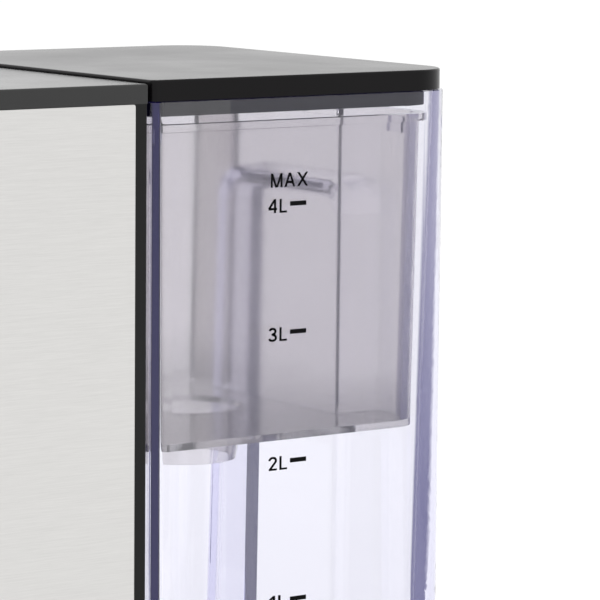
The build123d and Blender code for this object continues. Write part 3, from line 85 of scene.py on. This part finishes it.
def ramp(tree, value, low, high, start=NOISE_LOW, end=NOISE_HIGH):
    """A value turned into a colour between two ends."""
    node = tree.nodes.new("ShaderNodeValToRGB")
    first, last = node.color_ramp.elements
    first.position, last.position = start, end
    first.color, last.color = (*low, 1), (*high, 1)
    tree.links.new(value, node.inputs["Fac"])
    return node.outputs["Color"]


def span(tree, value, ends):
    """A noise value mapped to a range."""
    node = tree.nodes.new("ShaderNodeMapRange")
    set_values(node, From_Min=NOISE_LOW, From_Max=NOISE_HIGH, To_Min=ends[0], To_Max=ends[1])
    tree.links.new(value, node.inputs["Value"])
    return node.outputs["Result"]


def bump(tree, shader, value, distance, strength):
    """Surface relief from a value."""
    node = tree.nodes.new("ShaderNodeBump")
    set_values(node, Distance=distance, Strength=strength)
    tree.links.new(value, node.inputs["Height"])
    tree.links.new(node.outputs["Normal"], shader.inputs["Normal"])


def moulded(name, colour, lighter, rough, grain, relief, specular=0.5, coat=0.0):
    """Moulded plastic: fine spark-eroded grain, slight unevenness of gloss and colour."""
    mat, tree, shader = material(name)
    set_values(shader, Specular_IOR_Level=specular, Coat_Weight=coat, Coat_Roughness=0.08)
    broad = noise(tree, stretch=even(14), detail=4.0)
    fine = noise(tree, stretch=even(grain), detail=2.0)
    tree.links.new(ramp(tree, broad, colour, lighter), shader.inputs["Base Color"])
    tree.links.new(span(tree, broad, rough), shader.inputs["Roughness"])
    bump(tree, shader, fine, distance=relief, strength=0.35)
    return mat


def brushed(name, colour, lighter, rough, stretch):
    """Brushed steel: fine lines along one direction."""
    mat, tree, shader = material(name)
    set_values(shader, Metallic=1.0, Anisotropic=0.35)
    lines = noise(tree, stretch, detail=5.0, roughness=0.7)
    tree.links.new(ramp(tree, lines, colour, lighter), shader.inputs["Base Color"])
    tree.links.new(span(tree, lines, rough), shader.inputs["Roughness"])
    bump(tree, shader, lines, distance=0.00001, strength=0.12)
    return mat


def clear_plastic(name, colour, ior, tint, density, rough, glow=None):
    """Clear moulded plastic, tinted through its thickness. A glow adds painted light per metre inside it,
    a violet haze in place of light scattered in the plastic.
    """
    mat, tree, shader = material(name)
    set_values(shader, Base_Color=(*colour, 1), IOR=ior, Transmission_Weight=1.0)
    ripple = noise(tree, stretch=(60, 60, 18), detail=2.0)
    tree.links.new(span(tree, ripple, rough), shader.inputs["Roughness"])
    bump(tree, shader, ripple, distance=0.000002, strength=0.1)
    volume = tree.nodes.new("ShaderNodeVolumeAbsorption")
    set_values(volume, Color=(*tint, 1), Density=density)
    inside = volume.outputs["Volume"]
    if glow:
        light = tree.nodes.new("ShaderNodeEmission")
        set_values(light, Color=(*glow, 1))
        both = tree.nodes.new("ShaderNodeAddShader")
        tree.links.new(inside, both.inputs[0])
        tree.links.new(light.outputs["Emission"], both.inputs[1])
        inside = both.outputs["Shader"]
    tree.links.new(inside, tree.nodes["Material Output"].inputs["Volume"])
    return mat


def milky_plastic(name, colour, lighter, transmission, rough, painted_shade_bands=None):
    """Milky translucent plastic. Painted shade bands give heights in metres and the share of the colour
    left there.
    """
    mat, tree, shader = material(name)
    set_values(shader, IOR=1.5, Transmission_Weight=transmission)
    cloud = noise(tree, stretch=(30, 30, 22))
    tone = ramp(tree, cloud, colour, lighter)
    # Painted shade: the colour is darkened by height where bands are given
    if painted_shade_bands:
        shares = tree.nodes.new("ShaderNodeValToRGB")
        stops = shares.color_ramp.elements
        stops[0].position, stops[1].position = painted_shade_bands[0][0], painted_shade_bands[-1][0]
        for height, _ in painted_shade_bands[1:-1]:
            stops.new(height)
        for stop, (_, share) in zip(stops, painted_shade_bands):
            stop.color = (*even(share), 1)
        shade = tree.nodes.new("ShaderNodeVectorMath")
        shade.operation = "MULTIPLY"
        tree.links.new(along(tree, "Z"), shares.inputs["Fac"])
        tree.links.new(tone, shade.inputs[0])
        tree.links.new(shares.outputs["Color"], shade.inputs[1])
        tone = shade.outputs["Vector"]
    tree.links.new(tone, shader.inputs["Base Color"])
    tree.links.new(span(tree, cloud, rough), shader.inputs["Roughness"])
    grain = noise(tree, stretch=even(900), detail=2.0)
    bump(tree, shader, grain, distance=0.00002, strength=0.2)
    return mat


def metal(name, colour, lighter, rough):
    """Plain metal with slight unevenness."""
    mat, tree, shader = material(name)
    set_values(shader, Metallic=1.0)
    cloud = noise(tree, stretch=even(120), detail=4.0)
    tree.links.new(ramp(tree, cloud, colour, lighter), shader.inputs["Base Color"])
    tree.links.new(span(tree, cloud, rough), shader.inputs["Roughness"])
    return mat


def printed(name, colour, glow=0.0):
    """Screen-printed ink, or a lit segment where a glow is given."""
    mat, tree, shader = material(name)
    grain = noise(tree, stretch=even(2500), detail=2.0)
    darker = tuple(0.9 * c for c in colour)
    tree.links.new(ramp(tree, grain, darker, colour), shader.inputs["Base Color"])
    set_values(shader, Roughness=0.5, Specular_IOR_Level=0.05)
    set_values(shader, Emission_Color=(*colour, 1), Emission_Strength=glow)
    return mat


BLACK_BODY = moulded(
    "black_body", even(0.008), even(0.011), rough=(0.3, 0.38), grain=2600, relief=0.00002, specular=0.15)
BLACK_COVER = moulded(
    "black_cover", even(0.021), even(0.025), rough=(0.2, 0.26), grain=2600, relief=0.00001, specular=0.36)
BLACK_LID = moulded(
    "black_lid", (0.0035, 0.003, 0.0035), (0.0045, 0.004, 0.0045), rough=(0.2, 0.26), grain=2600,
    relief=0.00001, specular=0.13)
BLACK_GLOSS = moulded(
    "black_gloss", (0.008, 0.008, 0.009), (0.012, 0.012, 0.013), rough=(0.1, 0.16), grain=700,
    relief=0.00001, specular=0.5, coat=0.3)
BUTTON = moulded(
    "button_plastic", (0.03, 0.03, 0.032), (0.04, 0.04, 0.042), rough=(0.25, 0.32), grain=2200,
    relief=0.00002)
RUBBER = moulded(
    "rubber", even(0.02), even(0.028), rough=(0.7, 0.8), grain=1500, relief=0.00006, specular=0.3)
WHITE = moulded(
    "white_plastic", (0.72, 0.72, 0.7), (0.78, 0.78, 0.76), rough=(0.4, 0.5), grain=1800, relief=0.00003)
SILICONE = milky_plastic(
    "silicone", (0.78, 0.76, 0.72), (0.84, 0.83, 0.8), transmission=0.4, rough=(0.3, 0.4))
BOARD = moulded(
    "circuit_board", (0.012, 0.09, 0.035), (0.02, 0.12, 0.05), rough=(0.3, 0.4), grain=900, relief=0.00004)
COMPONENT = moulded(
    "dark_component", (0.025, 0.025, 0.028), (0.04, 0.04, 0.043), rough=(0.45, 0.55), grain=1500,
    relief=0.00003)
LEAD = moulded(
    "lead_jacket", (0.25, 0.03, 0.025), (0.32, 0.04, 0.03), rough=(0.4, 0.5), grain=1500, relief=0.00002)
STEEL_SIDE = brushed(
    "brushed_steel_side", (0.62, 0.613, 0.6), (0.69, 0.683, 0.67), rough=(0.3, 0.38),
    stretch=(2200, 70, 2600))
STEEL_WIDE = brushed(
    "brushed_steel_wide", (0.66, 0.655, 0.645), (0.76, 0.755, 0.745), rough=(0.28, 0.4),
    stretch=(9, 2200, 2600))
STEEL = metal("plated_steel", even(0.5), (0.62, 0.62, 0.61), rough=(0.25, 0.4))
CHROME = metal("spout_metal", even(0.7), even(0.78), rough=(0.1, 0.18))
CAST = metal("cast_aluminium", even(0.5), even(0.6), rough=(0.45, 0.6))
# The tank's violet glow is painted light, standing in for light scattered inside the clear walls
CLEAR = clear_plastic(
    "clear_tank", even(1.0), ior=1.55, tint=(0.3, 0.28, 0.72), density=21.0, rough=(0.0, 0.01),
    glow=(0.2, 0.15, 0.68))
# Painted shade: the basket's floor is a little darker than its walls and the collar under it
FLOOR_PAINTED_SHADE = [(0.148, 1.0), (0.151, 0.78), (0.157, 0.78), (0.176, 1.0)]
MILKY = milky_plastic(
    "milky_basket", (0.95, 0.925, 0.92), (0.97, 0.945, 0.94), transmission=0.88, rough=(0.06, 0.09),
    painted_shade_bands=FLOOR_PAINTED_SHADE)
LENS = clear_plastic(
    "smoked_lens", (0.3, 0.3, 0.32), ior=1.5, tint=(0.1, 0.1, 0.12), density=60.0, rough=(0.02, 0.04))
INK = printed("black_ink", (0.003, 0.003, 0.0035))
PALE_INK = printed("pale_ink", even(0.62))
LIT = printed("lit_segment", (0.55, 0.8, 1.0), glow=4.0)

LOOKS = {
    BLACK_BODY: ["body_shell", "tank_platform", "base_plate", "spout_shroud", "drip_tray"],
    BLACK_COVER: ["top_cover"],
    BLACK_LID: ["tank_lid"],
    BLACK_GLOSS: ["front_panel"],
    BUTTON: ["button_power", "button_temperature", "button_volume", "button_start"],
    LENS: ["display_lens"],
    STEEL_SIDE: ["side_panel_left", "side_panel_right"],
    STEEL_WIDE: ["splash_plate", "drip_grid"],
    CLEAR: ["tank_shell"],
    MILKY: ["filter_basket"],
    RUBBER: ["feet", "valve_seal", "socket_seal", "cord_gland"],
    WHITE: [
        "outlet_chamber", "chamber_lid", "valve_body", "valve_cap", "valve_plunger", "tank_socket",
        "flow_meter_body", "flow_meter_cap", "flow_meter_wheel", "pump_housing", "pump_impeller",
        "pump_bracket",
    ],
    SILICONE: ["tube_socket_meter", "tube_meter_pump", "tube_pump_heater", "tube_heater_outlet"],
    STEEL: ["base_screws", "hose_clips", "heater_clamps", "valve_spring", "pump_motor"],
    CHROME: ["spout_nozzle"],
    CAST: ["heater_block", "thermostat", "temperature_sensor"],
    BOARD: ["control_board", "power_board"],
    COMPONENT: ["display_module", "tact_switches", "power_components"],
    LEAD: ["wire_harness"],
}
for look, names in LOOKS.items():
    for name in names:
        slots = nodes[name].data.materials
        slots.clear()
        slots.append(look)


# Flat print, in millimetres in the x and y of a frame on a face

INK_PROUD = 0.06
ARC_STEPS = 28


def add_piece(name, corners, faces, look, body):
    """Flat faces put in the scene as a piece that rides on a body."""
    mesh = bpy.data.meshes.new(name)
    mesh.from_pydata(corners, [], faces)
    mesh.materials.append(look)
    piece = bpy.data.objects.new(name, mesh)
    scene.collection.objects.link(piece)
    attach(piece, body)


def patch(name, corners, where, look, body):
    """One flat polygon on a frame."""
    points = [where @ Vector((x * MM, y * MM, 0)) for x, y in corners]
    add_piece(name, points, [list(range(len(points)))], look, body)


def bar(x0, y0, x1, y1):
    """Corners of a flat rectangle."""
    return [(x0, y0), (x1, y0), (x1, y1), (x0, y1)]


def arc(radius, width, start, end):
    """Corners of a flat curved band, angles in degrees."""
    turn = [math.radians(start + (end - start) * i / ARC_STEPS) for i in range(ARC_STEPS + 1)]
    far, near = radius + width / 2, radius - width / 2
    outer = [(far * math.cos(t), far * math.sin(t)) for t in turn]
    inner = [(near * math.cos(t), near * math.sin(t)) for t in reversed(turn)]
    return outer + inner


# Drawn letters, in letter heights

STROKE, STROKE_OVERLAP = 0.17, 0.25
LETTER_GAP = 0.2
BOWL_STEP = 15


def bowl(x, y, width, depth, start, end):
    """Points of an oval from one angle to another, in degrees."""
    step = BOWL_STEP if end > start else -BOWL_STEP
    turn = [math.radians(a) for a in range(start, end + step, step)]
    return [(x + width * math.cos(t), y + depth * math.sin(t)) for t in turn]


# Plain sans letters: the width, then the middle lines of the strokes. What passes the height is cut off.
LETTERS = {
    "M": (0.97, [
        [(0.075, -1), (0.075, 2)], [(0.04, 1.11), (0.5, -0.11)], [(0.47, -0.11), (0.93, 1.11)],
        [(0.895, -1), (0.895, 2)],
    ]),
    "A": (0.86, [
        [(0.03, -0.11), (0.44, 1.06)], [(0.42, 1.06), (0.83, -0.11)], [(0.2, 0.33), (0.66, 0.33)],
    ]),
    "X": (0.9, [[(0.0, -0.11), (0.9, 1.11)], [(0.9, -0.11), (0.0, 1.11)]]),
    "L": (0.58, [[(0.075, -1), (0.075, 2)], [(0.0, 0.06), (0.58, 0.06)]]),
    "4": (0.66, [[(0.5, -1), (0.5, 2)], [(0.52, 1.02), (0.03, 0.3)], [(0.0, 0.29), (0.66, 0.29)]]),
    "3": (0.62, [
        bowl(0.29, 0.735, 0.22, 0.195, 165, -90) + bowl(0.29, 0.28, 0.26, 0.21, 90, -165),
    ]),
    "2": (0.62, [
        bowl(0.3, 0.715, 0.245, 0.215, 180, -45) + [(0.1, 0.1)], [(0.0, 0.06), (0.62, 0.06)],
    ]),
    "1": (0.4, [[(0.325, -1), (0.325, 2)], [(0.33, 0.94), (0.05, 0.7)]]),
}


def within_height(points):
    """A polygon's corners, cut to the letter height."""
    for level, side in ((0.0, 1), (1.0, -1)):
        kept = []
        for i, (x1, y1) in enumerate(points):
            x0, y0 = points[i - 1]
            if (side * (y0 - level) >= 0) != (side * (y1 - level) >= 0):
                kept.append((x0 + (level - y0) / (y1 - y0) * (x1 - x0), level))
            if side * (y1 - level) >= 0:
                kept.append((x1, y1))
        points = kept
    return points


def stroke(line):
    """Polygons of one drawn line: a bar for each step, a little longer where the line goes on."""
    bars = []
    for i, ((x0, y0), (x1, y1)) in enumerate(zip(line, line[1:])):
        length = math.hypot(x1 - x0, y1 - y0)
        ux, uy = (x1 - x0) / length * STROKE / 2, (y1 - y0) / length * STROKE / 2
        before = STROKE_OVERLAP if i else 0
        after = STROKE_OVERLAP if i < len(line) - 2 else 0
        x0, y0, x1, y1 = x0 - before * ux, y0 - before * uy, x1 + after * ux, y1 + after * uy
        corners = [(x0 + uy, y0 - ux), (x1 + uy, y1 - ux), (x1 - uy, y1 + ux), (x0 - uy, y0 + ux)]
        bars.append(within_height(corners))
    return bars


def lettering(name, text, width, height, where, look, body):
    """Letters in a width and height, centred on a frame."""
    full = sum(LETTERS[c][0] for c in text) + LETTER_GAP * (len(text) - 1)
    corners, faces, at = [], [], 0.0
    for c in text:
        advance, lines = LETTERS[c]
        for line in lines:
            for points in stroke(line):
                faces.append(list(range(len(corners), len(corners) + len(points))))
                corners += [((at + x) / full - 0.5, y - 0.5) for x, y in points]
        at += advance + LETTER_GAP
    placed = [where @ Vector((x * width * MM, y * height * MM, 0)) for x, y in corners]
    add_piece(name, placed, faces, look, body)


# Litre scale on the tank's right wall

WALL_TOP, WALL_BOTTOM = 281.9, 38.3
WALL_HALF, WALL_DRAFT = 87.5, 0.1
MARKS = {"4L": 243.0, "3L": 195.7, "2L": 147.8, "1L": 95.7}
MARK_LEAN = 0.0106  # how far marks shift to the rear per millimetre below the 4L mark
DASH_FROM, DASH_TO, DASH_HALF = 86.4, 93.8, 0.85
TEXT_HEIGHT = 5.15
TEXT_WIDTH, TEXT_Y, TEXT_DROP = 8.3, 81.0, 0.6
MAX_WIDTH, MAX_Y, MAX_Z = 16.6, 86.1, 251.8


def wall_x(z):
    """Outer face of the tank's right wall at a height."""
    return WALL_HALF - WALL_DRAFT * (WALL_TOP - z) / (WALL_TOP - WALL_BOTTOM)


def place_on_wall(y, z):
    """Frame on the right wall: x runs to +Y, y runs up."""
    x = wall_x(z) + INK_PROUD
    return Matrix(((0, 0, 1, x * MM), (1, 0, 0, y * MM), (0, 1, 0, z * MM), (0, 0, 0, 1)))


dash_half_length = (DASH_TO - DASH_FROM) / 2
DASH = bar(-dash_half_length, -DASH_HALF, dash_half_length, DASH_HALF)
for text, z in MARKS.items():
    shift = MARK_LEAN * (MARKS["4L"] - z)
    dash_place = place_on_wall((DASH_FROM + DASH_TO) / 2 + shift, z)
    patch("scale_line_" + text, DASH, dash_place, INK, "tank")
    text_place = place_on_wall(TEXT_Y + shift, z - TEXT_DROP)
    lettering("scale_text_" + text, text, TEXT_WIDTH, TEXT_HEIGHT, text_place, INK, "tank")
max_place = place_on_wall(MAX_Y, MAX_Z)
lettering("scale_text_max", "MAX", MAX_WIDTH, TEXT_HEIGHT, max_place, INK, "tank")


# Display and button symbols

PANEL_Y = -162.0
BUTTON_PROUD, BUTTON_Z = 1.0, 213.75
BUTTON_FACE_Y = PANEL_Y - BUTTON_PROUD - INK_PROUD
MODULE_Y = -152.0
SCREEN_Y, SCREEN_Z = MODULE_Y - INK_PROUD, 254.75


def place_on_front(x, y, z):
    """Frame on a face that looks to -Y: x runs to +X, y runs up."""
    return Matrix(((1, 0, 0, x * MM), (0, 0, -1, y * MM), (0, 1, 0, z * MM), (0, 0, 0, 1)))


# Each button's x and the flat shapes of its symbol
SYMBOLS = {
    "button_power": (-51.0, [arc(3.0, 0.7, 125, 415), bar(-0.35, 0.6, 0.35, 4.2)]),
    "button_temperature": (-17.0, [
        arc(1.5, 0.7, -235, 55), bar(-1.2, 1.0, -0.6, 4.0), bar(0.6, 1.0, 1.2, 4.0),
        bar(-0.3, -1.0, 0.3, 2.4), bar(-1.2, 4.0, 1.2, 4.6),
    ]),
    "button_volume": (17.0, [
        bar(-2.6, -3.2, 2.6, -2.5), bar(-3.2, -2.5, -2.5, 3.0), bar(2.5, -2.5, 3.2, 3.0),
        bar(-2.5, 0.2, 2.5, 0.8),
    ]),
    "button_start": (51.0, [[(-2.2, -3.2), (3.4, 0.0), (-2.2, 3.2)]]),
}
for button, (x, shapes) in SYMBOLS.items():
    where = place_on_front(x, BUTTON_FACE_Y, BUTTON_Z)
    for i, corners in enumerate(shapes):
        patch(f"{button}_symbol_{i}", corners, where, PALE_INK, button)

# Seven-segment digits: each digit's x and its lit segments
SEGMENTS = {
    "a": bar(-2.4, 6.3, 2.4, 7.3),
    "b": bar(2.6, 0.5, 3.6, 6.2),
    "c": bar(2.6, -6.2, 3.6, -0.5),
    "d": bar(-2.4, -7.3, 2.4, -6.3),
    "e": bar(-3.6, -6.2, -2.6, -0.5),
    "f": bar(-3.6, 0.5, -2.6, 6.2),
    "g": bar(-2.4, -0.5, 2.4, 0.5),
}
DIGITS = [(-13.0, "abcdfg"), (-2.0, "acdfg")]
for i, (x, lit) in enumerate(DIGITS):
    where = place_on_front(x, SCREEN_Y, SCREEN_Z)
    for part in lit:
        patch(f"display_digit_{i}_{part}", SEGMENTS[part], where, LIT, "body")

DEGREE_X, DEGREE_RISE = 6.5, 6.0
degree_ring = arc(radius=1.2, width=0.7, start=0, end=360)
degree_place = place_on_front(DEGREE_X, SCREEN_Y, SCREEN_Z + DEGREE_RISE)
patch("display_degree", degree_ring, degree_place, LIT, "body")


# Floor, light and camera

FLOOR_HALF = 40.0
floor_corners = bar(-FLOOR_HALF, -FLOOR_HALF, FLOOR_HALF, FLOOR_HALF)
floor_mesh = bpy.data.meshes.new("floor")
floor_mesh.from_pydata([(x, y, 0) for x, y in floor_corners], [], [(0, 1, 2, 3)])
FLOOR, floor_tree, floor_shader = material("pale_floor")
floor_tone = ramp(floor_tree, noise(floor_tree, stretch=even(3)), even(0.9), even(0.93))
floor_tree.links.new(floor_tone, floor_shader.inputs["Base Color"])
set_values(floor_shader, Roughness=0.9, Specular_IOR_Level=0.0)
floor_mesh.materials.append(FLOOR)
floor = bpy.data.objects.new("floor", floor_mesh)
scene.collection.objects.link(floor)

world = bpy.data.worlds.new("studio")
world.use_nodes = True
set_values(world.node_tree.nodes["Background"], Color=(*even(1), 1), Strength=1.13)
scene.world = world


def painted_shade_card(name, start, end, top, solid_to, low, high, shaded):
    """Upright dim card that only shows through the clear tank: painted shade, a darker line along its
    edges in place of dim surroundings.

    Its painted shade goes from low to high between two heights, darker near the floor, and it fades out
    from one x to its end.
    """
    mat, tree, shader = material(name)
    set_values(shader, Base_Color=(*even(0), 1), Specular_IOR_Level=0.0, Emission_Strength=1.0)
    tree.links.new(ramp(tree, along(tree, "Z"), low, high, *shaded), shader.inputs["Emission Color"])
    solid = tree.nodes.new("ShaderNodeMapRange")
    set_values(solid, From_Min=end[0], From_Max=solid_to)
    fade = tree.nodes.new("ShaderNodeMixShader")
    nothing = tree.nodes.new("ShaderNodeBsdfTransparent")
    tree.links.new(along(tree, "X"), solid.inputs["Value"])
    tree.links.new(solid.outputs["Result"], fade.inputs["Fac"])
    tree.links.new(nothing.outputs["BSDF"], fade.inputs[1])
    tree.links.new(shader.outputs["BSDF"], fade.inputs[2])
    tree.links.new(fade.outputs["Shader"], tree.nodes["Material Output"].inputs["Surface"])
    mesh = bpy.data.meshes.new(name)
    mesh.from_pydata([(*start, 0), (*end, 0), (*end, top), (*start, top)], [], [(0, 1, 2, 3)])
    mesh.materials.append(mat)
    card = bpy.data.objects.new(name, mesh)
    scene.collection.objects.link(card)
    card.visible_camera = card.visible_diffuse = card.visible_glossy = card.visible_shadow = False


# Painted shade: a dark card seen only through the tank, for the darker lines at its right edges
painted_shade_card(
    "painted_shade_card_right", start=(0.40, 0.28), end=(-0.27, 0.56), top=0.27, solid_to=-0.08,
    low=(0.16, 0.155, 0.3), high=(0.36, 0.35, 0.48), shaded=(0.06, 0.2))


def softbox(name, place, target, size, power):
    """Square area light that looks at a point."""
    light = bpy.data.lights.new(name, "AREA")
    light.shape = "SQUARE"
    light.size = size
    light.energy = power
    lamp = bpy.data.objects.new(name, light)
    lamp.location = place
    lamp.rotation_mode = "QUATERNION"
    lamp.rotation_quaternion = (Vector(target) - Vector(place)).to_track_quat("-Z", "Y")
    scene.collection.objects.link(lamp)


softbox("overhead", place=(0.3, -0.2, 2.2), target=(0, 0, 0.1), size=2.2, power=6.0)
softbox("key", place=(1.8, -1.4, 1.6), target=(0, 0, 0.15), size=1.2, power=3.0)

# The camera's place was fitted to edges of the part in the photo
CAMERA_PLACE = Matrix((
    (0.58485, -0.10745, 0.80399, 1.18915),
    (0.81109, 0.06646, -0.58113, -0.70492),
    (0.00900, 0.99198, 0.12602, 0.37981),
    (0, 0, 0, 1),
))
camera = bpy.data.objects.new("camera", bpy.data.cameras.new("camera"))
camera.data.lens = 223.79
camera.data.sensor_width = 36.0
camera.data.clip_start, camera.data.clip_end = 0.05, 200.0
camera.matrix_world = CAMERA_PLACE
scene.collection.objects.link(camera)
scene.camera = camera
scene.view_settings.view_transform = "Standard"

# Light in the clear walls takes many turns before it leaves them
scene.cycles.transmission_bounces = 24
scene.cycles.glossy_bounces = 10
scene.cycles.max_bounces = 40
